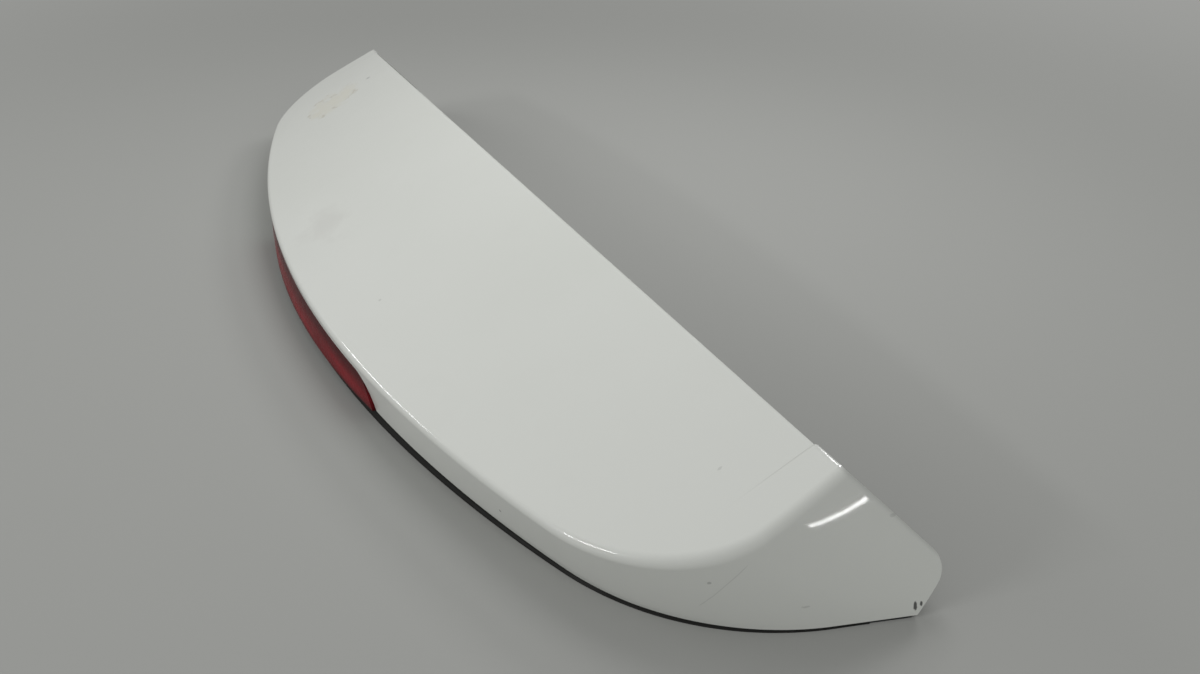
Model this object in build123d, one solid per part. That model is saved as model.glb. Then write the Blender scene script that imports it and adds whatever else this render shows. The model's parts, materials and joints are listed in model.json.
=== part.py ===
from build123d import *
import math
import os

# Rear roof spoiler of a hatchback, lying on its rim as it would on a bench.
# X runs along the span, +Y points to the leading edge and +Z up. Lengths are in mm, angles in degrees.
# The form is drawn with Y = 0 at the middle of the trailing rim, and centred at the end.

# Plan outline of the rim, at the floor
rim_tail_radius = 1220.0
rim_tail_half_width = 450.0
rim_corner_radius = 220.0
rim_side_angle = 74.0

# Plan outline of the side wall above the whole part; the rim's outline lies just below the floor
form_height = 170.0
form_depth = 1.0
form_tail_reach = 16.0
form_tail_radius = 2280.0
form_tail_half_width = 462.0
form_half_width = 531.0

# Top panel
tail_height = 46.5
panel_slope = 25.2
crown_radius = 3600.0

# Rounded fold between top panel and side wall
tail_fold_radius = 6.0
wing_fold_radius = 10.0
least_fold_radius = 2.0
fold_growth = (0.8, 2.0)
fold_overcut = 0.3
fold_overcut_share = 0.03
fold_waste = 12.0

# Stations along the fold: 0 at mid-span, 1 to 2 round the corner, 3 past the front of the wing
tail_fold_steps = 4
corner_fold_steps = 10
wing_fold_stations = [2.25, 2.5, 3.0]
station_step = 0.01

# Front edges
front_reach = 351.0
front_overrun = 10.0
front_angle = 43.6
wing_nose_depth = 62.0
tip_reach = front_reach - wing_nose_depth
tip_angle = 52.0
nose_radius = 19.0
tip_radius = 8.0
panel_setback = 1.5
horn_half_width = 524.0

# Rim and walls
arch_rise = 8.0
arch_half_width = 500.0
skin_wall = 3.0
flange_wall = 2.0
flange_setback = 0.8
liner_wall = 2.5
liner_setback = 1.5
web_gap = 2.4
fit_gap = 0.3

# Inner panel, a tub inside the skin
tub_inset = 26.0
deck_gap = 1.5
deck_extra_slope = 4.0

# Opening and lens of the stop lamp
lamp_half_length = 204.5
lamp_top = 38.5
lamp_corner_radius = 32.0
lens_gap = 0.8
lens_wall = 2.6
lens_rim_reach = 8.6
lens_rim_radius = 913.0
lens_top_reach = 2.4
lens_top_radius = 1370.0
lens_bulge = 1.2

# Inside of the stop lamp
housing_wall = 1.8
housing_depth = 16.7
housing_lip = 2.0
reflector_depth = 4.2
reflector_wall = 1.2
reflector_window = (11.0, 9.0)
board_depth = 9.2
board_wall = 1.2
emitter_count = 16
emitter_pitch = 22.0
emitter_size = (5.0, 1.6, 3.6)
lamp_axis_height = 23.0
socket_size = (18.0, 20.0, 12.0)
socket_wall = 1.6
terminal_pitch = 6.0
terminal_width = 1.4
terminal_reach = 12.0
gasket_width = 4.0
lamp_screw_x = 120.0
lamp_screw_radius = 2.0
lamp_screw_hole_radius = 2.4
lamp_screw_reach = 9.0
lamp_screw_head = (4.6, 2.6)
lamp_screw_seat_gap = 0.05
lamp_post_radius = 4.5

# Studs that fasten the spoiler to the tailgate
stud_spacing = (560.0, 60.0)
stud_row_y = 160.0
stud_seat_height = 66.0
stud_radius = 3.0
stud_length = 26.0
stud_flange = (10.0, 2.5)
stud_root = (5.0, 6.0)
boss_radius = 12.0
washer_side = 28.0
washer_wall = 5.0
washer_hole_radius = 4.4

# Push clips beside the studs
clip_x = 430.0
clip_y = 175.0
clip_seat_height = 72.0
clip_root = (4.0, 5.0)
clip_head = (9.0, 2.0)
clip_stem_width = 6.4
clip_barb_width = 10.0
clip_barb_pitch = 4.5
clip_barb_count = 3
clip_tip = (2.4, 5.0)
clip_blade = 4.0

# Seals
seal_half_length = 460.0
seal_width = 14.0
seal_wall = 4.0
seal_setback = 3.0
pad_wall = 5.0
pad_size = (70.0, 34.0)
pad_station = 2.29
pad_height = 42.0
pad_gap = 1.8

# Sizes that follow from those above
tail_join_angle = math.asin(rim_tail_half_width / rim_tail_radius)
form_join_angle = math.asin(form_tail_half_width / form_tail_radius)
front_slope = math.tan(math.radians(front_angle))
lens_seat = skin_wall + fit_gap
lens_inner = lens_gap + lens_wall
lamp_floor = flange_wall + fit_gap
housing_back = lens_seat + housing_depth
beyond = 4 * form_half_width


def arc_point(centre_x, centre_y, radius, angle):
    return centre_x + radius * math.sin(angle), centre_y - radius * math.cos(angle)


def wall_point(station, upper, inset):
    """Point of the side wall at a station, on the upper or the lower outline."""
    if upper:
        radius, reach, join = form_tail_radius, form_tail_reach, form_join_angle
        side = math.pi / 2
        height = form_height
    else:
        radius, reach, join = rim_tail_radius, 0, tail_join_angle
        side = math.radians(rim_side_angle)
        height = -form_depth
    joint_x, joint_y = arc_point(0, radius - reach, radius, join)
    corner = (form_half_width - joint_x) / (1 - math.sin(join)) if upper else rim_corner_radius
    centre_x = joint_x - corner * math.sin(join)
    centre_y = joint_y + corner * math.cos(join)
    if station <= 1:
        x, y = arc_point(0, radius - reach, radius - inset, join * station)
    else:
        turn = join + (side - join) * min(station - 1, 1)
        x, y = arc_point(centre_x, centre_y, corner - inset, turn)
    if station > 2:
        run = (station - 2) * (front_reach + front_overrun - y) / math.sin(side)
        x, y = x + run * math.cos(side), y + run * math.sin(side)
    return Vector(x, y, height)


def height_share(height):
    return (height + form_depth) / (form_height + form_depth)


def mirrored(point):
    return Vector(-point.X, point.Y, point.Z)


def outline(upper, inset):
    middle, joint, turn, side, front = [wall_point(s, upper, inset) for s in (0, 1, 1.5, 2, 3)]
    return Wire([
        Edge.make_three_point_arc(mirrored(joint), middle, joint),
        Edge.make_three_point_arc(joint, turn, side),
        Edge.make_line(side, front),
        Edge.make_line(front, mirrored(front)),
        Edge.make_line(mirrored(front), mirrored(side)),
        Edge.make_three_point_arc(mirrored(side), mirrored(turn), mirrored(joint)),
    ])


def side_form(inset):
    """Everything inside the side wall, moved in by the inset."""
    return Solid.make_loft([outline(False, inset), outline(True, inset)], ruled=True)


def lying_cylinder(point, angle, radius, inset):
    """Cylinder whose top line passes through the point and rises forward at the angle."""
    fore = Vector(0, math.cos(math.radians(angle)), math.sin(math.radians(angle)))
    normal = Vector(0, -fore.Z, fore.Y)
    axis = Plane(origin=point - normal * radius, x_dir=(1, 0, 0), z_dir=fore)
    return axis * Cylinder(radius - inset, beyond)


# Crown of the top panel: a cylinder through the middle of the trailing fold
tail_low = wall_point(0, False, 0)
tail_point = tail_low + (wall_point(0, True, 0) - tail_low) * height_share(tail_height)
crown_fore = Vector(0, math.cos(math.radians(panel_slope)), math.sin(math.radians(panel_slope)))
crown_normal = Vector(0, -crown_fore.Z, crown_fore.Y)
crown_origin = tail_point - crown_normal * crown_radius

# Middle of the leading edge, where the panel line meets the front plane
lead_gap = front_reach - tail_point.Y - front_slope * tail_point.Z
lead_point = tail_point + crown_fore * (lead_gap / (crown_fore.Y + front_slope * crown_fore.Z))


def hull(inset):
    return side_form(inset) & lying_cylinder(tail_point, panel_slope, crown_radius, inset)


def across(vector):
    return vector - crown_fore * vector.dot(crown_fore)


def fold_radius(station):
    share = min(max((station - fold_growth[0]) / (fold_growth[1] - fold_growth[0]), 0), 1)
    share = share * share * (3 - 2 * share)
    return tail_fold_radius + (wing_fold_radius - tail_fold_radius) * share


def fold_point(station, inset):
    """Point where the side wall meets the crown, and the direction down the wall."""
    low = wall_point(station, False, inset)
    run = wall_point(station, True, inset) - low
    start = across(low - crown_origin)
    climb = across(run)
    half = start.dot(climb)
    rest = start.dot(start) - (crown_radius - inset) ** 2
    share = (math.sqrt(half ** 2 - climb.dot(climb) * rest) - half) / climb.dot(climb)
    return low + run * share, run.normalized() * -1


def fold_section(station, inset, flip):
    """Closed section of the waste outside the rounded fold."""
    point, down = fold_point(station, inset)
    before = fold_point(max(station - station_step, 0), inset)[0]
    after = fold_point(min(station + station_step, wing_fold_stations[-1]), inset)[0]
    along = after - before
    inward = Vector(-along.Y, along.X, 0).normalized()
    normal = across(point - crown_origin)
    over = Vector(inward.X, inward.Y, -normal.dot(inward) / normal.Z).normalized()
    radius = max(fold_radius(station) - inset, least_fold_radius)
    half_angle = math.acos(over.dot(down)) / 2
    lift = max(fold_overcut, fold_overcut_share * radius)
    reach = radius / math.tan(half_angle) + math.sqrt(2 * radius * lift)
    bisector = (over + down).normalized()
    middle = point + bisector * (radius / math.sin(half_angle) - radius)
    first = point + over * reach + (over * over.dot(down) - down).normalized() * lift
    last = point + down * reach + (down * over.dot(down) - over).normalized() * lift
    apex = point - bisector * (fold_waste + lift)
    if flip:
        first, middle, last, apex = [mirrored(p) for p in (first, middle, last, apex)]
    return Wire([
        Edge.make_three_point_arc(first, middle, last),
        Edge.make_line(last, apex),
        Edge.make_line(apex, first),
    ])


def rounded_hull(inset):
    tail = [i / tail_fold_steps for i in range(-tail_fold_steps, tail_fold_steps + 1)]
    wing = [1 + i / corner_fold_steps for i in range(corner_fold_steps + 1)] + wing_fold_stations
    body = hull(inset)
    body = body - Solid.make_loft([fold_section(abs(s), inset, s < 0) for s in tail])
    for flip in (False, True):
        body = body - Solid.make_loft([fold_section(s, inset, flip) for s in wing], ruled=True)
    return body


def front_trim(setback):
    """Everything behind the front edges, moved back by the setback."""
    tip_slope = 1 / math.tan(math.radians(tip_angle))
    top = 2 * form_height
    reach = front_reach - setback / math.cos(math.radians(front_angle))
    tip = tip_reach - setback / math.sin(math.radians(tip_angle))
    nose_z = (reach - tip) / (front_slope + tip_slope)
    profile = [
        Vector(0, -front_reach, 0),
        Vector(0, tip, 0),
        Vector(0, tip + nose_z * tip_slope, nose_z),
        Vector(0, reach - front_slope * top, top),
        Vector(0, -front_reach, top),
    ]
    face = Face(Wire.make_polygon(profile, close=True))
    for corner, radius in ((profile[1], tip_radius), (profile[2], nose_radius - setback)):
        face = face.fillet_2d(radius, [face.vertices().sort_by_distance(corner)[0]])
    return extrude(face, amount=beyond / 2, dir=(1, 0, 0), both=True)


def arch_cut(height):
    """Solid under the shallow arch of the rim between the wings."""
    radius = (arch_half_width ** 2 + arch_rise ** 2) / (2 * arch_rise)
    lying = Plane(origin=(0, 0, height + arch_rise - radius), x_dir=(1, 0, 0), z_dir=(0, 1, 0))
    arch = lying * Cylinder(radius, beyond)
    return arch & Pos(0, 0, height) * Box(2 * arch_half_width, beyond, 4 * arch_rise)


def floor_cut(height):
    """Solid under the whole rim line at a height above the floor."""
    ground = Box(beyond, beyond, form_height, align=(Align.CENTER, Align.CENTER, Align.MAX))
    return Pos(0, 0, height) * ground + arch_cut(height)


def lamp_window(shrink):
    """Prism through the trailing face in the outline of the lamp, made smaller all round."""
    half = lamp_half_length - shrink
    top = lamp_top - shrink
    points = [Vector(x, 0, z) for x, z in ((-half, 0), (half, 0), (half, top), (-half, top))]
    face = Face(Wire.make_polygon(points, close=True))
    upper = [v for v in face.vertices() if v.Z > top / 2]
    face = face.fillet_2d(lamp_corner_radius - shrink, upper)
    return extrude(face, amount=beyond / 2, dir=(0, 1, 0), both=True)


def wall_band(outer, inner):
    return side_form(outer) - side_form(inner)


def lamp_y(inset):
    """Y of the wall at mid-span, at the height of the lamp's axis."""
    return inset - form_tail_reach * height_share(lamp_axis_height)


def wall_plane(station, inset, height):
    """Plane on the inset wall at a station, negative on the left, and a height, facing inward."""

    def spot(s):
        low = wall_point(abs(s), False, inset)
        point = low + (wall_point(abs(s), True, inset) - low) * height_share(height)
        return point if s >= 0 else mirrored(point)

    low = wall_point(abs(station), False, inset)
    run = wall_point(abs(station), True, inset) - low
    rise = run if station >= 0 else mirrored(run)
    along = spot(station + station_step) - spot(station - station_step)
    return Plane(origin=spot(station), x_dir=along, z_dir=rise.cross(along))


def lamp_plane(x, inset):
    """Plane on the inset wall at X, at the height of the lamp's axis."""
    return wall_plane(math.asin(x / rim_tail_radius) / tail_join_angle, inset, lamp_axis_height)


def disc(plane, radius, start, end):
    """Cylinder on the plane's axis, from start to end along it."""
    height = abs(end - start)
    return plane * Pos(0, 0, (start + end) / 2) * Cylinder(radius, height)


def lamp_box(x, size, start, end):
    """Box across the lamp at X, from start to end in Y."""
    return Pos(x, (start + end) / 2, lamp_axis_height) * Box(size[0], end - start, size[1])


# Painted outer skin
def make_outer_skin():
    skin = rounded_hull(0) - rounded_hull(skin_wall)
    skin = skin & front_trim(0)
    edge = front_trim(-panel_setback) - front_trim(panel_setback)
    skin = skin - (edge & Box(2 * horn_half_width, beyond, beyond))
    return skin - floor_cut(flange_wall) - lamp_window(0)


# Inner panel: a tub with a deck, a rim flange and a front web in one moulding
deck_drop = (skin_wall + deck_gap) / math.cos(math.radians(panel_slope + deck_extra_slope))
deck_point = lead_point - Vector(0, 0, deck_drop)


def deck(inset):
    return lying_cylinder(deck_point, panel_slope + deck_extra_slope, crown_radius, inset)


def tub_room():
    return side_form(tub_inset) & deck(liner_wall)


def stud_places():
    return [
        (sx * stud_spacing[0] / 2, stud_row_y + sy * stud_spacing[1] / 2)
        for sy in (-1, 1)
        for sx in (-1, 1)
    ]


def clip_places():
    return [(-clip_x, clip_y), (clip_x, clip_y)]


def boss(x, y, seat, tub):
    column = Cylinder(boss_radius, form_height, align=(Align.CENTER, Align.CENTER, Align.MIN))
    return (Pos(x, y, seat) * column) & tub


def hexagon(x, y, z, size):
    """Upright hexagonal prism of (corner radius, height), standing on Z."""
    return Pos(x, y, z) * extrude(RegularPolygon(size[0], 6), amount=size[1])


def make_inner_panel():
    room = tub_room()
    tub = side_form(tub_inset - liner_wall) & deck(0)
    flange = hull(flange_setback) & floor_cut(flange_wall)
    web = hull(skin_wall + web_gap) - front_trim(liner_setback + liner_wall)
    web = web - floor_cut(flange_wall / 2)
    panel = (tub + flange + web) - room
    panel = panel & front_trim(liner_setback)
    for x, y in stud_places():
        panel = panel + boss(x, y, stud_seat_height, tub)
        panel = panel - hexagon(x, y, stud_seat_height, stud_root)
    for x, y in clip_places():
        panel = panel + boss(x, y, clip_seat_height, tub)
        panel = panel - hexagon(x, y, clip_seat_height, clip_root)
    socket_hole = [socket_size[0] + 2 * fit_gap, socket_size[2] + 2 * fit_gap]
    panel = panel - lamp_box(0, socket_hole, lamp_y(housing_back), lamp_y(tub_inset + liner_wall))
    for x in (-lamp_screw_x, lamp_screw_x):
        panel = panel - disc(lamp_plane(x, tub_inset), lamp_screw_hole_radius, -2 * liner_wall, liner_wall)
    return panel - arch_cut(0)


# Stop lamp
def lens_outline(height, reach, radius, inset):
    half = lamp_half_length + lamp_corner_radius
    angle = math.asin(half / radius)
    end_x, end_y = arc_point(0, radius - reach, radius - inset, angle)
    back = end_y + lamp_y(tub_inset)
    left, middle, right = (-end_x, end_y, height), (0, inset - reach, height), (end_x, end_y, height)
    return Wire([
        Edge.make_three_point_arc(left, middle, right),
        Edge.make_line(right, (end_x, back, height)),
        Edge.make_line((end_x, back, height), (-end_x, back, height)),
        Edge.make_line((-end_x, back, height), left),
    ])


def lens_form(inset):
    """Everything behind the bulged face of the lens, moved in by the inset."""
    middle_reach = (lens_rim_reach + lens_top_reach) / 2 + lens_bulge
    middle_radius = (lens_rim_radius + lens_top_radius) / 2
    return Solid.make_loft([
        lens_outline(0, lens_rim_reach, lens_rim_radius, inset),
        lens_outline(lamp_top / 2, middle_reach, middle_radius, inset),
        lens_outline(lamp_top, lens_top_reach, lens_top_radius, inset),
    ])


def make_lamp_lens():
    lens = (lens_form(0) & lamp_window(lens_gap)) - side_form(lens_seat)
    lens = lens - floor_cut(lamp_floor)
    return lens - ((lens_form(lens_wall) & lamp_window(lens_inner)) - floor_cut(lamp_floor + lens_wall))


def socket_box(margin):
    size = (socket_size[0] + 2 * margin, socket_size[2] + 2 * margin)
    return lamp_box(0, size, lamp_y(housing_back - housing_wall), lamp_y(housing_back + socket_size[1]))


def terminal_boxes():
    end = lamp_y(housing_back + terminal_reach)
    width = (terminal_width, terminal_width)
    bars = [lamp_box(s * terminal_pitch / 2, width, 0, end) for s in (-1, 1)]
    return [bar & side_form(lens_seat + board_depth + board_wall) for bar in bars]


def make_lamp_housing():
    body = (side_form(lens_seat) & lamp_window(lens_inner - housing_wall)) - side_form(housing_back)
    lip = wall_band(lens_seat, lens_seat + housing_wall) & lamp_window(-housing_lip)
    room = (side_form(0) & lamp_window(lens_inner)) - side_form(housing_back - housing_wall)
    housing = (body + lip) - (room - floor_cut(lamp_floor + housing_wall))
    housing = housing - floor_cut(lamp_floor)
    housing = housing + (socket_box(0) & side_form(housing_back - housing_wall))
    housing = housing - (socket_box(-socket_wall) & side_form(housing_back))
    for x in (-lamp_screw_x, lamp_screw_x):
        plane = lamp_plane(x, tub_inset)
        post = disc(plane, lamp_post_radius, -lamp_screw_reach - housing_wall, 0)
        post = post - side_form(tub_inset - liner_wall - fit_gap)
        housing = housing + post
        housing = housing - disc(plane, lamp_screw_radius, -lamp_screw_reach, 0)
    for bar in terminal_boxes():
        housing = housing - bar
    return housing


def emitter_places():
    return [(i - (emitter_count - 1) / 2) * emitter_pitch for i in range(emitter_count)]


def lamp_plate(depth, wall):
    """Plate that fills the housing behind the lens, at a depth from the lens seat."""
    plate = wall_band(lens_seat + depth, lens_seat + depth + wall) & lamp_window(lens_inner + fit_gap)
    return plate - floor_cut(lamp_floor + housing_wall + fit_gap)


def make_lamp_reflector():
    plate = lamp_plate(reflector_depth, reflector_wall)
    for x in emitter_places():
        plate = plate - lamp_box(x, reflector_window, -tub_inset, 2 * tub_inset)
    return plate


def make_led_emitters():
    front = lens_seat + board_depth
    band = wall_band(front - emitter_size[1], front)
    size = (emitter_size[0], emitter_size[2])
    return [band & lamp_box(x, size, -tub_inset, 2 * tub_inset) for x in emitter_places()]


def make_lamp_gasket():
    ring = wall_band(housing_back, tub_inset - liner_wall)
    outer, inner = [
        lamp_box(0, (socket_size[0] + 2 * width, socket_size[2] + 2 * width), 0, 2 * tub_inset)
        for width in (gasket_width, fit_gap)
    ]
    return (ring & outer) - inner


def make_lamp_screw(x):
    plane = lamp_plane(x, tub_inset)
    head_radius, head_height = lamp_screw_head
    shank = disc(plane, lamp_screw_radius, -lamp_screw_reach, lamp_screw_seat_gap)
    head = extrude(RegularPolygon(head_radius, 6), amount=head_height)
    return shank + plane * Pos(0, 0, lamp_screw_seat_gap) * head


# Fasteners and seals
def make_stud(x, y):
    flange_z = stud_seat_height - stud_flange[1]
    stud = hexagon(x, y, flange_z, stud_flange) + hexagon(x, y, stud_seat_height, stud_root)
    shank = Cylinder(stud_radius, stud_length, align=(Align.CENTER, Align.CENTER, Align.MAX))
    return stud + Pos(x, y, flange_z) * shank


def make_washer(x, y):
    top = stud_seat_height - stud_flange[1]
    pad = Box(washer_side, washer_side, washer_wall) - Cylinder(washer_hole_radius, washer_wall)
    return Pos(x, y, top - washer_wall / 2) * pad


def make_clip(x, y):
    """Fir-tree clip: a flat barbed blade under a hexagonal head."""
    right = [(clip_stem_width / 2, 0)]
    for i in range(clip_barb_count):
        start = -clip_barb_pitch * (i + 0.5)
        right.append((clip_stem_width / 2, start))
        right.append((clip_barb_width / 2, start))
        right.append((clip_stem_width / 2, start - clip_barb_pitch / 2))
    right.append((clip_tip[0] / 2, right[-1][1] - clip_tip[1]))
    left = [(-half, height) for half, height in reversed(right)]
    points = [Vector(half, 0, height) for half, height in right + left]
    face = Face(Wire.make_polygon(points, close=True))
    blade = extrude(face, amount=clip_blade / 2, dir=(0, 1, 0), both=True)
    head_z = clip_seat_height - clip_head[1]
    clip = hexagon(x, y, head_z, clip_head) + hexagon(x, y, clip_seat_height, clip_root)
    return clip + Pos(x, y, head_z) * blade


def make_leading_edge_seal():
    strip = deck(liner_wall) - deck(liner_wall + seal_wall)
    strip = strip & (front_trim(seal_setback) - front_trim(seal_setback + seal_width))
    room = Box(2 * seal_half_length, beyond, beyond, align=(Align.CENTER, Align.MIN, Align.MIN))
    return strip & Pos(0, 0, stud_seat_height) * room


def make_wing_pad(side):
    plane = wall_plane(side * pad_station, tub_inset, pad_height)
    return plane * Pos(0, 0, pad_gap + pad_wall / 2) * Box(pad_size[0], pad_size[1], pad_wall)


def main():
    nodes = {
        "outer_skin": make_outer_skin(),
        "inner_panel": make_inner_panel(),
        "lamp_lens": make_lamp_lens(),
        "lamp_housing": make_lamp_housing(),
        "lamp_reflector": make_lamp_reflector(),
        "led_board": lamp_plate(board_depth, board_wall),
        "led_emitters": Compound(make_led_emitters()),
        "lamp_terminals": Compound(terminal_boxes()),
        "lamp_gasket": make_lamp_gasket(),
        "lamp_screw_left": make_lamp_screw(-lamp_screw_x),
        "lamp_screw_right": make_lamp_screw(lamp_screw_x),
        "leading_edge_seal": make_leading_edge_seal(),
        "wing_pad_left": make_wing_pad(-1),
        "wing_pad_right": make_wing_pad(1),
    }
    names = ("rear_left", "rear_right", "front_left", "front_right")
    for name, (x, y) in zip(names, stud_places()):
        nodes["stud_" + name] = make_stud(x, y)
        nodes["stud_washer_" + name] = make_washer(x, y)
    for name, (x, y) in zip(("left", "right"), clip_places()):
        nodes["clip_" + name] = make_clip(x, y)

    # The origin goes to the middle of the bounding box, on the floor
    boxes = [shape.bounding_box() for shape in nodes.values()]
    centre_y = (min(b.min.Y for b in boxes) + max(b.max.Y for b in boxes)) / 2
    os.makedirs("parts", exist_ok=True)
    for name, shape in nodes.items():
        export_step(Pos(0, -centre_y, 0) * shape, "parts/" + name + ".step")


main()
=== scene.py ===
import bpy
import json
import math
from mathutils import Matrix, Quaternion, Vector


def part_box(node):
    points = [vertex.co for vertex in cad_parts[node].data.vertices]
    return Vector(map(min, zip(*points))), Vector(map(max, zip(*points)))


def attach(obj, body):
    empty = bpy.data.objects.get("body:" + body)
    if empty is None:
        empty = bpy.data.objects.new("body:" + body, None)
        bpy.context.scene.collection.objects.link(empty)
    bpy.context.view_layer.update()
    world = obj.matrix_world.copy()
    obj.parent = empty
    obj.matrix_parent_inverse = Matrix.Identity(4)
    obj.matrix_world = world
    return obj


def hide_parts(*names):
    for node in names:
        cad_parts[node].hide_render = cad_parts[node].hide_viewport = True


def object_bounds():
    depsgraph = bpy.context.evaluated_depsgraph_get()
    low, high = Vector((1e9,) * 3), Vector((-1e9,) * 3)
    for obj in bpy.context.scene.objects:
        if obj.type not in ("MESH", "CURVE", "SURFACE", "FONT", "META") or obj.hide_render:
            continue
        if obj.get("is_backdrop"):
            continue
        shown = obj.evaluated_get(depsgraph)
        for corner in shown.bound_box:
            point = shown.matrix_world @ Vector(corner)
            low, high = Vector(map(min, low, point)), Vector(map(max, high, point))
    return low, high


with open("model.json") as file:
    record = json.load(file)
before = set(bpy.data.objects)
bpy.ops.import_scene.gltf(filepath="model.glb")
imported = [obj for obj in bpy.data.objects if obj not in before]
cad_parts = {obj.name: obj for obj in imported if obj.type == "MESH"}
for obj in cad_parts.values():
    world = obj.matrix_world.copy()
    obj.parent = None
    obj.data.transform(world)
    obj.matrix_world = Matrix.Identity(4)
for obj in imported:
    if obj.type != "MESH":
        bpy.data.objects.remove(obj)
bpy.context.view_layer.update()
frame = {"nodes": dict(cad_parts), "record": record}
nodes = frame["nodes"]
scene = bpy.context.scene
MM = 0.001

# Sizes in millimetres, the same as in the CAD source.
# The skin is drawn with Y = 0 at the middle of the trailing rim and moved back by centre_y.
centre_y = 151.4915
rim_tail_radius = 1220.0
rim_tail_half_width = 450.0
rim_corner_radius = 220.0
rim_side_angle = math.radians(74.0)
form_height = 170.0
form_depth = 1.0
form_tail_reach = 16.0
form_tail_radius = 2280.0
form_tail_half_width = 462.0
form_half_width = 531.0
tail_height = 46.5
panel_slope = math.radians(25.2)
crown_radius = 3600.0
tail_fold_radius = 6.0
wing_fold_radius = 10.0
fold_growth = (0.8, 2.0)
front_reach = 351.0
front_angle = math.radians(43.6)
front_overrun = 10.0
tip_reach = 289.0
tip_angle = math.radians(52.0)
nose_radius = 19.0
tip_radius = 8.0
panel_setback = 1.5
horn_half_width = 524.0
arch_rise = 8.0
arch_half_width = 500.0
skin_wall = 3.0
flange_wall = 2.0
lamp_half_length = 204.5
lamp_top = 38.5
lamp_corner_radius = 32.0
pad_wall = 5.0

# Sizes of the scene alone, in millimetres. The trim at the noses of the wings keeps the skin's inner edge
# inside the CAD's box. Stations run along the side wall, as in wall_point.
nose_trim = 0.6
nose_trim_fade = (40.0, 80.0)
horn_step = 2.0
edge_rounding = 1.0
edge_steps = 3
sharp_edge = math.radians(50)
# The lip stands in for the side of the black flange; its flare over the floor is a painted shadow under the
# rim
lip_setback = 0.7
lip_wall = 1.6
lip_gap = 0.1
lip_shadow_flare = 2.6
lip_end_station = 2.2
lip_fade_station = 1.3
lip_steps = 240
pad_half = (34.6, 16.6)
washer_half = 13.9
washer_hole = (4.5, 4.5, 2.0)
gasket_half = (12.9, 9.9)
gasket_wall = 3.4
gasket_hole = (9.4, 6.4, 9.0)
foam_wall = 4.9
foam_squareness = 9.0
foam_turns = 64

tail_join = math.asin(rim_tail_half_width / rim_tail_radius)
form_join = math.asin(form_tail_half_width / form_tail_radius)
front_slope = math.tan(front_angle)
tip_slope = 1 / math.tan(tip_angle)
fore = Vector((0, math.cos(panel_slope), math.sin(panel_slope)))
panel_up = Vector((0, -math.sin(panel_slope), math.cos(panel_slope)))


def arc_point(centre_x, middle_y, radius, angle):
    return centre_x + radius * math.sin(angle), middle_y - radius * math.cos(angle)


def wall_point(station, upper):
    """Side wall outline: station 0 to 1 trailing edge, 1 to 2 corner, 2 to 3 wing."""
    if upper:
        radius, reach, join, side = form_tail_radius, form_tail_reach, form_join, math.pi / 2
        height = form_height
    else:
        radius, reach, join, side = rim_tail_radius, 0.0, tail_join, rim_side_angle
        height = -form_depth
    joint_x, joint_y = arc_point(0, radius - reach, radius, join)
    corner = (form_half_width - joint_x) / (1 - math.sin(join)) if upper else rim_corner_radius
    corner_x = joint_x - corner * math.sin(join)
    corner_y = joint_y + corner * math.cos(join)
    if station <= 1:
        x, y = arc_point(0, radius - reach, radius, join * station)
    else:
        x, y = arc_point(corner_x, corner_y, corner, join + (side - join) * min(station - 1, 1))
    if station > 2:
        run = (station - 2) * (front_reach + front_overrun - y) / math.sin(side)
        x, y = x + run * math.cos(side), y + run * math.sin(side)
    return Vector((x, y, height))


def height_share(height):
    return (height + form_depth) / (form_height + form_depth)


tail_point = wall_point(0, False).lerp(wall_point(0, True), height_share(tail_height))
crown_origin = tail_point - panel_up * crown_radius


def smooth_share(value, low, high):
    share = min(max((value - low) / (high - low), 0), 1)
    return share * share * (3 - 2 * share)


def across(vector):
    return vector - fore * vector.dot(fore)


def crown_base(x):
    """Point of the crown at X, abreast of the middle of the trailing fold."""
    drop = crown_radius - math.sqrt(crown_radius ** 2 - x ** 2)
    return tail_point - panel_up * drop + Vector((x, 0, 0))


def on_crown(x, y):
    """Point of the crowned top panel above X, Y."""
    base = crown_base(x)
    return Vector((x, y, base.z + fore.z * (y - base.y) / fore.y))


def lead_point(x):
    """Point of the leading edge at X: the panel is set back between the horns."""
    base = crown_base(x)
    horn = smooth_share(x, horn_half_width - horn_step / 2, horn_half_width + horn_step / 2)
    setback = panel_setback * (1 - horn)
    reach = front_reach - setback / math.cos(front_angle)
    run = (reach - base.y - front_slope * base.z) / (fore.y + front_slope * fore.z)
    return base + fore * run


def round_between(corner, before, after, radius):
    """Centre of an arc that rounds a corner in (Y, Z), and the heights where it starts and ends."""
    a = (Vector(before) - Vector(corner)).normalized()
    b = (Vector(after) - Vector(corner)).normalized()
    half = math.acos(a.dot(b)) / 2
    centre = Vector(corner) + (a + b).normalized() * (radius / math.sin(half))
    reach = radius / math.tan(half)
    return centre, (Vector(corner) + a * reach).y, (Vector(corner) + b * reach).y


nose_z = (front_reach - tip_reach) / (front_slope + tip_slope)
nose = (tip_reach + nose_z * tip_slope, nose_z)
tip = (tip_reach, 0.0)
above = (front_reach - front_slope * form_height, form_height)
nose_centre, nose_low, nose_high = round_between(nose, tip, above, nose_radius)
tip_centre, _, tip_high = round_between(tip, (0.0, 0.0), nose, tip_radius)


def front_y(z):
    """Y of the front edge of the wings at a height."""
    if z > nose_high:
        return front_reach - front_slope * z
    if z > nose_low:
        return nose_centre.x + math.sqrt(nose_radius ** 2 - (z - nose_centre.y) ** 2)
    if z > tip_high:
        return tip_reach + tip_slope * z
    return tip_centre.x + math.sqrt(max(tip_radius ** 2 - (z - tip_centre.y) ** 2, 0))


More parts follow.
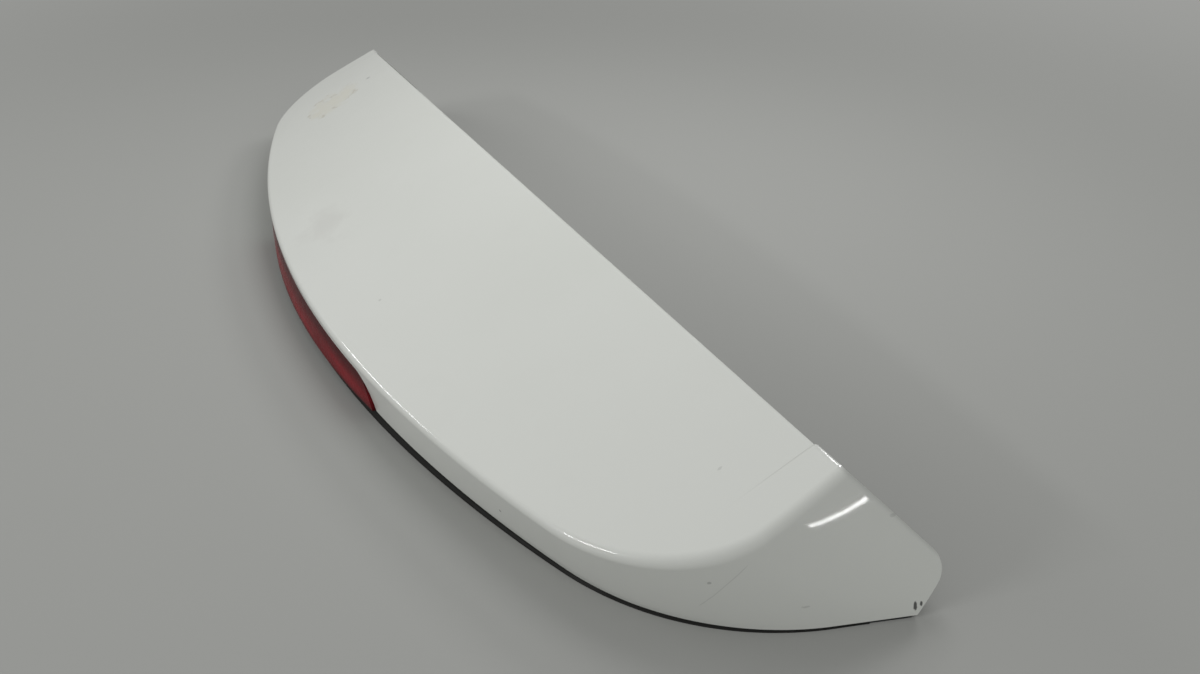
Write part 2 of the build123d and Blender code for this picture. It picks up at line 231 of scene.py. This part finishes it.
def rim_height(x):
    """Lower edge of the skin: the arched rim, and the outline of the lamp opening in its middle."""
    x = abs(x)
    radius = (arch_half_width ** 2 + arch_rise ** 2) / (2 * arch_rise)
    rim = flange_wall
    if x < arch_half_width:
        rim += arch_rise - radius + math.sqrt(radius ** 2 - x ** 2)
    if x >= lamp_half_length:
        return rim
    side = max(x - (lamp_half_length - lamp_corner_radius), 0)
    opening = lamp_top - lamp_corner_radius + math.sqrt(lamp_corner_radius ** 2 - side ** 2)
    return max(rim, opening)


def fold_radius(station):
    growth = smooth_share(station, *fold_growth)
    return tail_fold_radius + (wing_fold_radius - tail_fold_radius) * growth


def fold_point(station):
    """Point where the side wall meets the crown, with the wall's foot and its run upward."""
    low = wall_point(station, False)
    run = wall_point(station, True) - low
    start = across(low - crown_origin)
    climb = across(run)
    half = start.dot(climb)
    rest = start.dot(start) - crown_radius ** 2
    share = (math.sqrt(half ** 2 - climb.dot(climb) * rest) - half) / climb.dot(climb)
    return low + run * share, low, run


fold_frames = {}


def fold_frame(station):
    """Rounded fold at a station: the wall's foot and run, the two tangent points and the arc's centre."""
    if station not in fold_frames:
        point, low, run = fold_point(station)
        step = 0.01
        ahead = fold_point(min(station + step, 3))[0] - fold_point(max(station - step, 0))[0]
        inward = Vector((-ahead.y, ahead.x, 0)).normalized()
        normal = across(point - crown_origin)
        over = Vector((inward.x, inward.y, -normal.dot(inward) / normal.z)).normalized()
        down = -run.normalized()
        radius = fold_radius(station)
        half = over.angle(down) / 2
        reach = radius / math.tan(half)
        centre = point + (over + down).normalized() * (radius / math.sin(half))
        fold_frames[station] = (low, run, point + down * reach, point + over * reach, centre)
    return fold_frames[station]


def skin_point(row, station):
    """Point of the outer surface: row 0 to 1 up the wall, 1 to 2 round the fold."""
    low, run, foot, head, centre = fold_frame(station)
    if row <= 1:
        # The rim's height hangs on X, and X on the height, since the wall leans
        start = low
        for _ in range(4):
            start = low + run * height_share(rim_height(start.x))
        return start.lerp(foot, row)
    a = foot - centre
    b = head - centre
    turn = a.angle(b)
    share = row - 1
    return centre + (a * math.sin((1 - share) * turn) + b * math.sin(share * turn)) / math.sin(turn)


def last_station(row):
    """Station where a row of the skin meets the front edge of the wing."""
    low, high = 2.0, 3.0
    for _ in range(40):
        middle = (low + high) / 2
        spot = skin_point(row, middle)
        trim = nose_trim * (1 - smooth_share(spot.z, *nose_trim_fade))
        if spot.y < front_y(spot.z) - trim:
            low = middle
        else:
            high = middle
    return low


def spread(start, end, count):
    return [start + (end - start) * i / count for i in range(count)]


# Columns run from the middle of the trailing edge to the front of a wing, closest at the lamp's corner.
# Rows run from the rim up the wall, round the fold and over the panel, closest at the wing's nose and fold.
columns = spread(0, 0.365, 20) + spread(0.365, 0.455, 45) + spread(0.455, 1, 28)
columns += spread(1, 2, 60) + spread(2, 3, 30) + [3.0]
wall_rows = spread(0, 0.12, 6) + spread(0.12, 0.6, 24) + spread(0.6, 0.9, 6)
wall_rows += [0.9, 0.94, 0.97, 0.99]
fold_rows = spread(1, 2, 10) + [2.0]
panel_rows = 26
panel_row_growth = 1.5


def half_skin():
    """Rows of points of the right half of the skin, from the rim to the leading edge."""
    rows = []
    for row in wall_rows + fold_rows:
        end = last_station(row)
        rows.append([skin_point(row, t if t <= 2 else 2 + (t - 2) * (end - 2)) for t in columns])
    head = rows[-1]
    lengths = [0.0]
    for a, b in zip(head, head[1:]):
        lengths.append(lengths[-1] + (b - a).length)
    leading = [lead_point(head[-1].x * length / lengths[-1]) for length in lengths]
    for i in range(1, panel_rows + 1):
        share = (i / panel_rows) ** panel_row_growth
        spots = [(a.x + (b.x - a.x) * share, a.y + (b.y - a.y) * share) for a, b in zip(head, leading)]
        rows.append([on_crown(x, y) for x, y in spots])
    return rows


def add_mesh(name, verts, faces, smooth=True):
    mesh = bpy.data.meshes.new(name)
    mesh.from_pydata(verts, [], faces)
    mesh.validate()
    if smooth:
        mesh.shade_smooth()
    piece = bpy.data.objects.new(name, mesh)
    scene.collection.objects.link(piece)
    return piece


def to_frame(point, side=1):
    return (side * point.x * MM, (point.y - centre_y) * MM, point.z * MM)


def build_skin():
    rows = half_skin()
    verts, faces = [], []
    width = 2 * len(columns) - 1
    for row in rows:
        verts += [to_frame(p, -1) for p in reversed(row[1:])]
        verts += [to_frame(p) for p in row]
    for i in range(len(rows) - 1):
        for j in range(width - 1):
            a = i * width + j
            faces.append((a, a + 1, a + width + 1, a + width))
    skin = add_mesh("spoiler_skin", verts, faces)
    wall = skin.modifiers.new("wall", "SOLIDIFY")
    wall.thickness = skin_wall * MM
    wall.offset = -1
    wall.use_even_offset = True
    edge = skin.modifiers.new("edge", "BEVEL")
    edge.width = edge_rounding * MM
    edge.segments = edge_steps
    edge.limit_method = "ANGLE"
    edge.angle_limit = sharp_edge
    edge.harden_normals = True
    return skin


def build_lip_and_shadow_band():
    """Soft black lip that runs from the arched rim down to the floor and turns outward there. It stands in
    for the side of the black flange, and where it flares out over the floor it is a painted shadow under the
    rim.
    """
    verts, faces = [], []
    stations = spread(-lip_end_station, lip_end_station, lip_steps) + [lip_end_station]
    step = 0.005
    for signed in stations:
        station = abs(signed)
        low = wall_point(station, False)
        ahead = wall_point(station + step, False) - low
        inward = Vector((-ahead.y, ahead.x, 0)).normalized()
        run = wall_point(station, True) - low
        foot = low + run * height_share(0)
        top = rim_height(max(abs(foot.x), lamp_half_length)) - lip_gap
        flare = lip_shadow_flare * (1 - smooth_share(station, lip_fade_station, lip_end_station))
        profile = (
            (lip_setback + lip_wall, top),
            (lip_setback, top),
            (lip_setback - 0.2 * flare, 0.6 * top),
            (lip_setback - 0.6 * flare, 0.3 * top),
            (-flare, 0.1 * top),
            (-flare, 0.0),
            (lip_setback + lip_wall, 0.0),
        )
        for depth, height in profile:
            point = low + run * height_share(height) + inward * depth
            verts.append(to_frame(Vector((point.x, point.y, height)), 1 if signed >= 0 else -1))
    count = len(profile)
    last = count * (len(stations) - 1)
    for i in range(len(stations) - 1):
        for k in range(count):
            a, n = count * i + k, count * i + (k + 1) % count
            faces.append((a, n, n + count, a + count))
    faces += [tuple(reversed(range(count))), tuple(range(last, last + count))]
    return add_mesh("lip_and_shadow_band", verts, faces)


# Foam pieces: flat where they are glued on, crowned on the free side, with rounded edges.
# Each profile point is a share of the way out from the middle or the hole, and a share of the wall.
foam_outside = [(0.93, 0.0), (0.985, 0.05), (1.0, 0.16), (1.0, 0.55)]
foam_outside += [(0.985, 0.75), (0.95, 0.88), (0.87, 0.95), (0.7, 0.98)]
foam_middle = [(0.4, 0.995), (0.15, 1.0)]
foam_hole = [(0.35, 1.0), (0.14, 0.95), (0.04, 0.84), (0.0, 0.7), (0.0, 0.2), (0.03, 0.05), (0.1, 0.0)]


def square_turn(angle, half_x, half_y, power):
    """Point of a rounded rectangle in the direction of the angle."""
    c, s = math.cos(angle), math.sin(angle)
    size = (abs(c / half_x) ** power + abs(s / half_y) ** power) ** (-1 / power)
    return c * size, s * size


def foam_block(name, place, half_x, half_y, wall, hole=None):
    """Foam pad on the local XY plane, with its wall along local Z. A hole is (half X, half Y, power)."""
    rings = []
    for share, height in foam_outside + (foam_hole if hole else foam_middle):
        ring = []
        for k in range(foam_turns):
            angle = 2 * math.pi * k / foam_turns
            x, y = square_turn(angle, half_x, half_y, foam_squareness)
            if hole:
                inner_x, inner_y = square_turn(angle, *hole)
                x, y = inner_x + (x - inner_x) * share, inner_y + (y - inner_y) * share
            else:
                x, y = x * share, y * share
            ring.append(place @ Vector((x * MM, y * MM, height * wall * MM)))
        rings.append(ring)
    verts = [v for ring in rings for v in ring]
    faces = []
    count = len(rings)
    for i in range(count if hole else count - 1):
        for k in range(foam_turns):
            a, b = i * foam_turns, (i + 1) % count * foam_turns
            n = (k + 1) % foam_turns
            faces.append((a + k, a + n, b + n, b + k))
    if not hole:
        faces.append(tuple(reversed(range(foam_turns))))
        faces.append(tuple((count - 1) * foam_turns + k for k in range(foam_turns)))
    return add_mesh(name, [tuple(v) for v in verts], faces)


def node_axes(node):
    """Middle of a block-like CAD node, and the directions of its wall and of its shorter side."""
    mesh = nodes[node].data
    world = nodes[node].matrix_world
    points = [world @ v.co for v in mesh.vertices]
    middle = sum(points, Vector()) / len(points)
    edges = [points[e.vertices[0]] - points[e.vertices[1]] for e in mesh.edges]
    edges = sorted(edges, key=lambda e: e.length)
    thin = edges[0].normalized()
    flat = [e for e in edges if abs(e.normalized().dot(thin)) < 0.1 and e.length > 2 * edges[0].length]
    flat = sorted(flat, key=lambda e: e.length)
    short = flat[0].normalized()
    return middle, thin, short


# Materials
def new_material(name):
    material = bpy.data.materials.new(name)
    material.use_nodes = True
    tree = material.node_tree
    return material, tree, tree.nodes["Principled BSDF"]


def object_place(tree):
    return tree.nodes.new("ShaderNodeTexCoord").outputs["Object"]


def stretched(tree, scale, turn=(0.0, 0.0, 0.0)):
    """Object coordinates with their own scale along each axis, for streaks."""
    node = tree.nodes.new("ShaderNodeMapping")
    node.inputs["Scale"].default_value = scale
    node.inputs["Rotation"].default_value = turn
    tree.links.new(object_place(tree), node.inputs["Vector"])
    return node.outputs["Vector"]


def noise(tree, scale, detail=3.0, roughness=0.5, vector=None):
    node = tree.nodes.new("ShaderNodeTexNoise")
    node.inputs["Scale"].default_value = scale
    node.inputs["Detail"].default_value = detail
    node.inputs["Roughness"].default_value = roughness
    tree.links.new(vector or object_place(tree), node.inputs["Vector"])
    return node.outputs["Fac"]


def ramp(tree, value, low, high, start=0.0, end=1.0):
    node = tree.nodes.new("ShaderNodeMapRange")
    node.interpolation_type = "SMOOTHSTEP"
    node.inputs["From Min"].default_value = low
    node.inputs["From Max"].default_value = high
    node.inputs["To Min"].default_value = start
    node.inputs["To Max"].default_value = end
    tree.links.new(value, node.inputs["Value"])
    return node.outputs["Result"]


def calc(tree, operation, a, b=0.0):
    node = tree.nodes.new("ShaderNodeMath")
    node.operation = operation
    for i, value in enumerate((a, b)):
        if isinstance(value, (int, float)):
            node.inputs[i].default_value = value
        else:
            tree.links.new(value, node.inputs[i])
    return node.outputs[0]


def blend(tree, factor, a, b):
    node = tree.nodes.new("ShaderNodeMix")
    node.data_type = "RGBA"
    tree.links.new(factor, node.inputs[0])
    for i, value in ((6, a), (7, b)):
        if isinstance(value, tuple):
            node.inputs[i].default_value = (*value, 1.0)
        else:
            tree.links.new(value, node.inputs[i])
    return node.outputs[2]


def bump(tree, shader, height, strength, distance, after=None):
    node = tree.nodes.new("ShaderNodeBump")
    node.inputs["Strength"].default_value = strength
    node.inputs["Distance"].default_value = distance
    tree.links.new(height, node.inputs["Height"])
    if after:
        tree.links.new(after, node.inputs["Normal"])
    tree.links.new(node.outputs["Normal"], shader.inputs["Normal"])
    return node.outputs["Normal"]


def spot_mask(tree, place, size, ragged=0.35, grain=60.0, soft=0.45):
    """Ragged patch around a point of the part, 1 in its middle."""
    node = tree.nodes.new("ShaderNodeMapping")
    node.vector_type = "TEXTURE"
    node.inputs["Location"].default_value = place
    node.inputs["Scale"].default_value = size
    tree.links.new(object_place(tree), node.inputs["Vector"])
    length = tree.nodes.new("ShaderNodeVectorMath")
    length.operation = "LENGTH"
    tree.links.new(node.outputs["Vector"], length.inputs[0])
    rough = calc(tree, "MULTIPLY", calc(tree, "SUBTRACT", noise(tree, grain, 5.0, 0.6), 0.5), 4 * ragged)
    return ramp(tree, calc(tree, "ADD", length.outputs["Value"], rough), 1.0, 1.0 - soft)


def along(tree, start, direction):
    """Distance of the surface from a point, measured along a direction."""
    shift = tree.nodes.new("ShaderNodeVectorMath")
    shift.operation = "SUBTRACT"
    tree.links.new(object_place(tree), shift.inputs[0])
    shift.inputs[1].default_value = start
    dot = tree.nodes.new("ShaderNodeVectorMath")
    dot.operation = "DOT_PRODUCT"
    tree.links.new(shift.outputs["Vector"], dot.inputs[0])
    dot.inputs[1].default_value = direction
    return dot.outputs["Value"]


def line_mask(tree, start, end, facing, half_width):
    """Thin straight scratch between two points of a surface that faces the given way."""
    run = Vector(end) - Vector(start)
    direction = run.normalized()
    side = direction.cross(Vector(facing)).normalized()
    wander = calc(tree, "MULTIPLY", calc(tree, "SUBTRACT", noise(tree, 90.0, 2.0, 0.5), 0.5), 0.0012)
    off = calc(tree, "ABSOLUTE", calc(tree, "ADD", along(tree, start, side), wander))
    length = along(tree, start, direction)
    start_fade = ramp(tree, length, 0.0, 0.006)
    end_fade = ramp(tree, length, run.length, run.length - 0.006)
    ends = calc(tree, "MULTIPLY", start_fade, end_fade)
    return calc(tree, "MULTIPLY", ramp(tree, off, half_width, 0.0), ends)


def dab(tree, base, mask, strength, colour):
    """Colour laid over the base where a mask is, at most at the given strength."""
    return blend(tree, calc(tree, "MULTIPLY", mask, strength), base, colour)


# Marks on the paint, in metres: blots of the stain as (place, radius), and dark marks as (place, half sizes,
# strength), which are two scuffs at the tip of the right wing and then specks
stain_blots = (
    ((-0.4110, -0.0054, 0.0913), 0.026),
    ((-0.4060, -0.0239, 0.0826), 0.024),
    ((-0.4189, 0.0130, 0.0980), 0.020),
    ((-0.3950, -0.0332, 0.0801), 0.014),
)
dark_marks = (
    ((0.5944, 0.1370, 0.0092), (0.004, 0.0017, 0.0044), 0.9),
    ((0.5950, 0.1415, 0.0102), (0.004, 0.0012, 0.0022), 0.9),
    ((0.4950, 0.0295, 0.0960), (0.0012, 0.0030, 0.0030), 0.16),
    ((0.5450, -0.0061, 0.0468), (0.0030, 0.0016, 0.0018), 0.32),
    ((0.3914, -0.0937, 0.0226), (0.0016, 0.0016, 0.0016), 0.6),
    ((0.5688, 0.1240, 0.0768), (0.0030, 0.0030, 0.0016), 0.16),
    ((0.5720, 0.0571, 0.0223), (0.0030, 0.0040, 0.0012), 0.18),
    ((0.1180, -0.1017, 0.0698), (0.0020, 0.0020, 0.0020), 0.16),
    ((-0.4186, 0.0440, 0.1136), (0.0030, 0.0040, 0.0030), 0.45),
)
scratch_top = (0.5539, 0.0185, 0.0650)
scratch_foot = (0.5376, -0.0085, 0.0193)
scratch_facing = (0.84, -0.53, 0.10)
scratch_half_width = 0.0007
crease_x = 0.5232
crease_half_width = 0.0009
crease_fade = (0.012, 0.070)
crease_depth = 0.0001
soft_edge_reach = 0.0045
soft_edge_bend = 100.0


def stain_mask(tree):
    """Stain of overlapping blots, longer along the span."""
    stain = None
    for place, radius in stain_blots:
        blot = spot_mask(tree, place, (1.8 * radius, radius, radius), 0.5, 60.0, 0.8)
        stain = calc(tree, "MAXIMUM", stain, blot) if stain else blot
    return stain


def crease_groove_and_shade_mask(tree):
    """Fine crease that runs back from each horn and fades; it sets the groove of the bump and the painted
    shade along the crease line.
    """
    axes = tree.nodes.new("ShaderNodeSeparateXYZ")
    tree.links.new(object_place(tree), axes.inputs[0])
    beyond = calc(tree, "SUBTRACT", calc(tree, "ABSOLUTE", axes.outputs["X"]), crease_x)
    fade = ramp(tree, axes.outputs["Y"], *crease_fade)
    return calc(tree, "MULTIPLY", ramp(tree, calc(tree, "ABSOLUTE", beyond), crease_half_width, 0.0), fade)


def soft_edge(tree):
    """Height that falls away towards the front edge, so that the edge looks rounded."""
    forward = (0, math.cos(front_angle), math.sin(front_angle))
    front = along(tree, (0, (front_reach - centre_y) * MM, 0), forward)
    lean = calc(tree, "MAXIMUM", calc(tree, "ADD", front, soft_edge_reach), 0.0)
    return calc(tree, "MULTIPLY", calc(tree, "MULTIPLY", lean, lean), -soft_edge_bend)


def white_paint():
    """White paint under a clear coat, with a brown stain, a grey smudge, dark marks, a scratch and painted
    shade along the crease.
    """
    material, tree, shader = new_material("white_paint")
    cloud = ramp(tree, noise(tree, 3.0, 3.0, 0.5), 0.3, 0.7)
    base = blend(tree, cloud, (0.662, 0.676, 0.640), (0.688, 0.700, 0.668))
    dust = ramp(tree, noise(tree, 26.0, 6.0, 0.62), 0.5, 0.85)
    base = dab(tree, base, dust, 0.05, (0.50, 0.49, 0.45))

    # The stain has a darker, broken outline
    stain = stain_mask(tree)
    base = dab(tree, base, stain, 0.32, (0.62, 0.57, 0.42))
    ring = calc(tree, "MULTIPLY", ramp(tree, stain, 0.05, 0.3), ramp(tree, stain, 0.6, 0.3))
    ring = calc(tree, "MULTIPLY", ring, ramp(tree, noise(tree, 70.0, 4.0, 0.6), 0.48, 0.62))
    base = dab(tree, base, ring, 0.45, (0.34, 0.28, 0.18))
    smudge = spot_mask(tree, (-0.074, -0.108, 0.068), (0.050, 0.030, 0.040), 0.55, 28.0, 0.9)
    base = dab(tree, base, smudge, 0.26, (0.50, 0.49, 0.47))
    for place, size, strength in dark_marks:
        mark = spot_mask(tree, place, size, 0.3, 500.0)
        base = dab(tree, base, mark, strength, (0.03, 0.03, 0.03))
    scratch = line_mask(tree, scratch_top, scratch_foot, scratch_facing, scratch_half_width)
    base = dab(tree, base, scratch, 0.22, (0.20, 0.20, 0.19))
    # Painted shade: the paint is darkened along the crease line
    crease = crease_groove_and_shade_mask(tree)
    base = dab(tree, base, crease, 0.20, (0.30, 0.30, 0.28))
    tree.links.new(base, shader.inputs["Base Color"])

    rough = ramp(tree, noise(tree, 40.0, 5.0, 0.6), 0.3, 0.8, 0.30, 0.42)
    rough = calc(tree, "ADD", rough, calc(tree, "MULTIPLY", calc(tree, "ADD", stain, smudge), 0.15))
    tree.links.new(rough, shader.inputs["Roughness"])
    shader.inputs["Specular IOR Level"].default_value = 0.25
    shader.inputs["Coat Weight"].default_value = 0.9
    shader.inputs["Coat Roughness"].default_value = 0.035
    shader.inputs["Coat IOR"].default_value = 1.45

    # Groove of the crease, soft front edge and the orange peel of the paint
    groove = bump(tree, shader, calc(tree, "MULTIPLY", crease, -crease_depth), 1.0, 1.0)
    edge = bump(tree, shader, soft_edge(tree), 1.0, 1.0, groove)
    peel = bump(tree, shader, noise(tree, 420.0, 2.0, 0.5), 0.003, 0.0004, edge)
    tree.links.new(peel, shader.inputs["Coat Normal"])
    return material


def plain_plastic(name, colour, roughness, grain, depth=0.25, shine=0.5):
    material, tree, shader = new_material(name)
    dark = tuple(c * 0.78 for c in colour)
    tree.links.new(blend(tree, noise(tree, 25.0, 4.0, 0.6), dark, colour), shader.inputs["Base Color"])
    rough = ramp(tree, noise(tree, 60.0, 3.0, 0.5), 0.3, 0.7, roughness - 0.08, roughness + 0.08)
    tree.links.new(rough, shader.inputs["Roughness"])
    shader.inputs["Specular IOR Level"].default_value = shine
    bump(tree, shader, noise(tree, grain, 2.0, 0.5), depth, 0.0003)
    return material


def red_lens():
    """Dark red acrylic with painted light: painted shade under the fold and at the foot, and a painted
    highlight with streaks of painted reflection along its middle.
    """
    material, tree, shader = new_material("red_lens")
    axes = tree.nodes.new("ShaderNodeSeparateXYZ")
    tree.links.new(object_place(tree), axes.inputs[0])
    # Painted shade: the red darkens at the foot of the lens and under the fold above it
    clear_of_foot_shade = ramp(tree, axes.outputs["Z"], 0.008, 0.016)
    upper = ramp(tree, axes.outputs["Z"], 0.034, 0.020)
    # Painted highlight along the middle of the lens, broken into streaks of painted reflection
    patch = ramp(tree, noise(tree, 11.0, 4.0, 0.6, stretched(tree, (1.0, 1.0, 9.0))), 0.32, 0.7)
    glow = calc(tree, "MULTIPLY", upper, calc(tree, "ADD", calc(tree, "MULTIPLY", patch, 0.5), 0.5))
    red = blend(tree, glow, (0.060, 0.005, 0.007), (0.215, 0.013, 0.019))
    red = blend(tree, clear_of_foot_shade, (0.08, 0.007, 0.009), red)
    haze = ramp(tree, noise(tree, 70.0, 5.0, 0.65), 0.45, 0.8)
    red = dab(tree, red, haze, 0.10, (0.20, 0.04, 0.04))
    tree.links.new(red, shader.inputs["Base Color"])
    rough = ramp(tree, noise(tree, 90.0, 4.0, 0.6), 0.3, 0.8, 0.22, 0.34)
    tree.links.new(rough, shader.inputs["Roughness"])
    shader.inputs["Specular IOR Level"].default_value = 0.08
    bump(tree, shader, noise(tree, 300.0, 2.0, 0.5), 0.02, 0.0004)
    return material


def metal(name, colour, roughness, scale):
    material, tree, shader = new_material(name)
    dark = tuple(c * 0.7 for c in colour)
    tree.links.new(blend(tree, noise(tree, scale, 4.0, 0.6), dark, colour), shader.inputs["Base Color"])
    shader.inputs["Metallic"].default_value = 1.0
    rough = ramp(tree, noise(tree, scale * 3, 3.0, 0.5), 0.3, 0.7, roughness - 0.08, roughness + 0.1)
    tree.links.new(rough, shader.inputs["Roughness"])
    bump(tree, shader, noise(tree, scale * 8, 2.0, 0.5), 0.1, 0.0002)
    return material


finishes = {
    "white_paint": white_paint(),
    "black_plastic": plain_plastic("black_plastic", (0.020, 0.020, 0.021), 0.55, 900.0),
    "red_lens": red_lens(),
    "lamp_plastic": plain_plastic("lamp_plastic", (0.03, 0.03, 0.031), 0.4, 700.0),
    "silvered_plastic": metal("silvered_plastic", (0.75, 0.75, 0.76), 0.15, 40.0),
    "circuit_board": plain_plastic("circuit_board", (0.015, 0.11, 0.05), 0.4, 500.0),
    "led_plastic": plain_plastic("led_plastic", (0.8, 0.75, 0.5), 0.3, 400.0),
    "terminal_brass": metal("terminal_brass", (0.7, 0.55, 0.28), 0.3, 200.0),
    "foam_rubber": plain_plastic("foam_rubber", (0.035, 0.035, 0.035), 0.85, 1500.0, 0.6),
    "seal_rubber": plain_plastic("seal_rubber", (0.016, 0.016, 0.015), 0.6, 1200.0, shine=0.2),
    "plated_steel": metal("plated_steel", (0.58, 0.57, 0.53), 0.35, 120.0),
    "clip_plastic": plain_plastic("clip_plastic", (0.7, 0.68, 0.6), 0.45, 800.0),
}
for part in frame["record"]["subparts"]:
    surface = nodes[part["node"]].data
    surface.materials.clear()
    surface.materials.append(finishes[part["material_slot"]])


def take_place(piece, node, slot):
    piece.data.materials.append(finishes[slot])
    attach(piece, "root")
    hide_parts(node)


take_place(build_skin(), "outer_skin", "white_paint")
# Black lip along the rim, partly a painted shadow where it flares over the floor
lip = build_lip_and_shadow_band()
lip.data.materials.append(finishes["seal_rubber"])
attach(lip, "root")

for side in ("left", "right"):
    node = "wing_pad_" + side
    middle, thin, short = node_axes(node)
    outward = Vector((-1 if side == "left" else 1, 0, 0))
    up = -thin if thin.dot(outward) > 0 else thin
    long = short.cross(up)
    turn = Matrix((long, short, up)).transposed().to_4x4()
    place = Matrix.Translation(middle - up * pad_wall / 2 * MM) @ turn
    pad = foam_block("foam_pad_" + side, place, *pad_half, foam_wall)
    take_place(pad, node, "foam_rubber")
for row in ("rear", "front"):
    for side in ("left", "right"):
        node = "stud_washer_" + row + "_" + side
        low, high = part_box(node)
        middle = (Vector(low) + Vector(high)) / 2
        flip = Matrix.Rotation(math.pi, 4, "X")
        place = Matrix.Translation((middle.x, middle.y, high[2])) @ flip
        name = "foam_washer_" + row + "_" + side
        washer = foam_block(name, place, washer_half, washer_half, foam_wall, washer_hole)
        take_place(washer, node, "foam_rubber")
low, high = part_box("lamp_gasket")
wall_lean = math.atan(form_tail_reach / (form_height + form_depth))
middle = (Vector(low) + Vector(high)) / 2
place = Matrix.Translation(middle) @ Matrix.Rotation(math.pi / 2 + wall_lean, 4, "X")
place = place @ Matrix.Translation((0, 0, -gasket_wall / 2 * MM))
gasket = foam_block("foam_gasket", place, *gasket_half, gasket_wall, gasket_hole)
take_place(gasket, "lamp_gasket", "foam_rubber")

# Floor and light: away from the part the floor fades into a backdrop of its own brightness
floor_half = 14.0
floor_fade = (0.9, 2.4)
backdrop = (0.34, 0.343, 0.331, 1)


def seen_rays(tree):
    """1 for rays that show the background, to the camera or in gloss and glass."""
    rays = tree.nodes.new("ShaderNodeLightPath").outputs
    gloss = calc(tree, "MAXIMUM", rays["Is Glossy Ray"], rays["Is Transmission Ray"])
    return calc(tree, "MAXIMUM", rays["Is Camera Ray"], gloss)


def mix_surface(tree, share, first, second):
    node = tree.nodes.new("ShaderNodeMixShader")
    tree.links.new(share, node.inputs[0])
    tree.links.new(first, node.inputs[1])
    tree.links.new(second, node.inputs[2])
    return node.outputs[0]


corners = [(x * floor_half, y * floor_half, 0) for x, y in ((-1, -1), (1, -1), (1, 1), (-1, 1))]
floor = add_mesh("floor", corners, [(0, 1, 2, 3)], False)
floor_material, floor_tree, floor_shader = new_material("floor")
floor_shader.inputs["Base Color"].default_value = (0.37, 0.373, 0.36, 1)
floor_shader.inputs["Roughness"].default_value = 0.9
floor_shader.inputs["Specular IOR Level"].default_value = 0.0
distance = floor_tree.nodes.new("ShaderNodeVectorMath")
distance.operation = "LENGTH"
floor_tree.links.new(object_place(floor_tree), distance.inputs[0])
far_share = ramp(floor_tree, distance.outputs["Value"], *floor_fade)
far_share = calc(floor_tree, "MULTIPLY", far_share, seen_rays(floor_tree))
glow = floor_tree.nodes.new("ShaderNodeEmission")
glow.inputs["Color"].default_value = backdrop
surface = mix_surface(floor_tree, far_share, floor_shader.outputs[0], glow.outputs[0])
floor_tree.links.new(surface, floor_tree.nodes["Material Output"].inputs["Surface"])
floor.data.materials.append(floor_material)
floor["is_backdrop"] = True

world = bpy.data.worlds.new("world")
scene.world = world
world.use_nodes = True
sky_tree = world.node_tree
sky = sky_tree.nodes["Background"]
sky.inputs["Color"].default_value = (0.99, 1.0, 0.985, 1)
sky.inputs["Strength"].default_value = 0.425
seen = sky_tree.nodes.new("ShaderNodeBackground")
seen.inputs["Color"].default_value = backdrop
surface = mix_surface(sky_tree, seen_rays(sky_tree), sky.outputs[0], seen.outputs[0])
sky_tree.links.new(surface, sky_tree.nodes["World Output"].inputs["Surface"])


def area_light(name, place, target, size_x, size_y, power, upright=(0, 0, 1)):
    """Rectangular lamp at a place, turned to a target, with its Y side along upright. Power is in watts."""
    lamp = bpy.data.lights.new(name, "AREA")
    lamp.shape = "RECTANGLE"
    lamp.size = size_x
    lamp.size_y = size_y
    lamp.energy = power
    back = (Vector(place) - Vector(target)).normalized()
    side = Vector(upright).cross(back).normalized()
    holder = bpy.data.objects.new(name, lamp)
    holder.location = place
    holder.rotation_mode = "QUATERNION"
    holder.rotation_quaternion = Matrix((side, back.cross(side), back)).transposed().to_quaternion()
    holder.visible_camera = False
    scene.collection.objects.link(holder)
    return holder


# Soft light overhead with fills, then lamps that draw highlights on the trailing fold and the front edge
for lamp in (
    area_light("overhead", (-0.12, 0.36, 0.97), (-0.06, 0.05, 0.1), 0.55, 0.55, 3.3, (0, 1, 0)),
    area_light("rear_fill", (-0.9, -3.0, 1.1), (0.1, 0, 0.05), 2.0, 1.0, 10.0),
    area_light("right_fill", (3.0, 0.6, 1.5), (0.5, 0, 0.05), 1.4, 1.0, 8.0),
):
    lamp.visible_glossy = False
area_light("rear_left", (-1.84, -1.95, 1.32), (0.15, -0.1, 0.05), 1.1, 0.2, 10.0)
area_light("rear_middle", (0.22, -2.72, 1.41), (0.5, -0.06, 0.05), 0.95, 0.15, 15.0)
area_light("front_left", (-0.65, 2.31, 1.75), (0.53, 0.09, 0.12), 0.6, 0.6, 13.0)

# Thin strip that shows as a streak in the paint of the right wing
strip_place = (0.8286, 0.2076, 0.0417)
strip_target = (0.5607, 0.0829, 0.0880)
strip_upright = (-0.022, 0.793, 0.609)
streak = area_light("wing_streak", strip_place, strip_target, 0.0019, 0.091, 0.0135, strip_upright)
streak.visible_diffuse = False

# Camera at the photograph's place
camera_data = bpy.data.cameras.new("camera")
camera_data.sensor_fit = "HORIZONTAL"
camera_data.sensor_width = 36.0
camera_data.lens = 31.2
camera_data.clip_start = 0.01
camera = bpy.data.objects.new("camera", camera_data)
camera.location = (0.96383, -0.31252, 0.5375)
look = Vector((-0.76271, 0.39929, -0.50876))
roll = Quaternion((0, 0, 1), math.radians(1.69))
camera.rotation_mode = "QUATERNION"
camera.rotation_quaternion = look.to_track_quat("-Z", "Y") @ roll
scene.collection.objects.link(camera)
scene.camera = camera
scene.view_settings.view_transform = "Standard"

low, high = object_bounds()
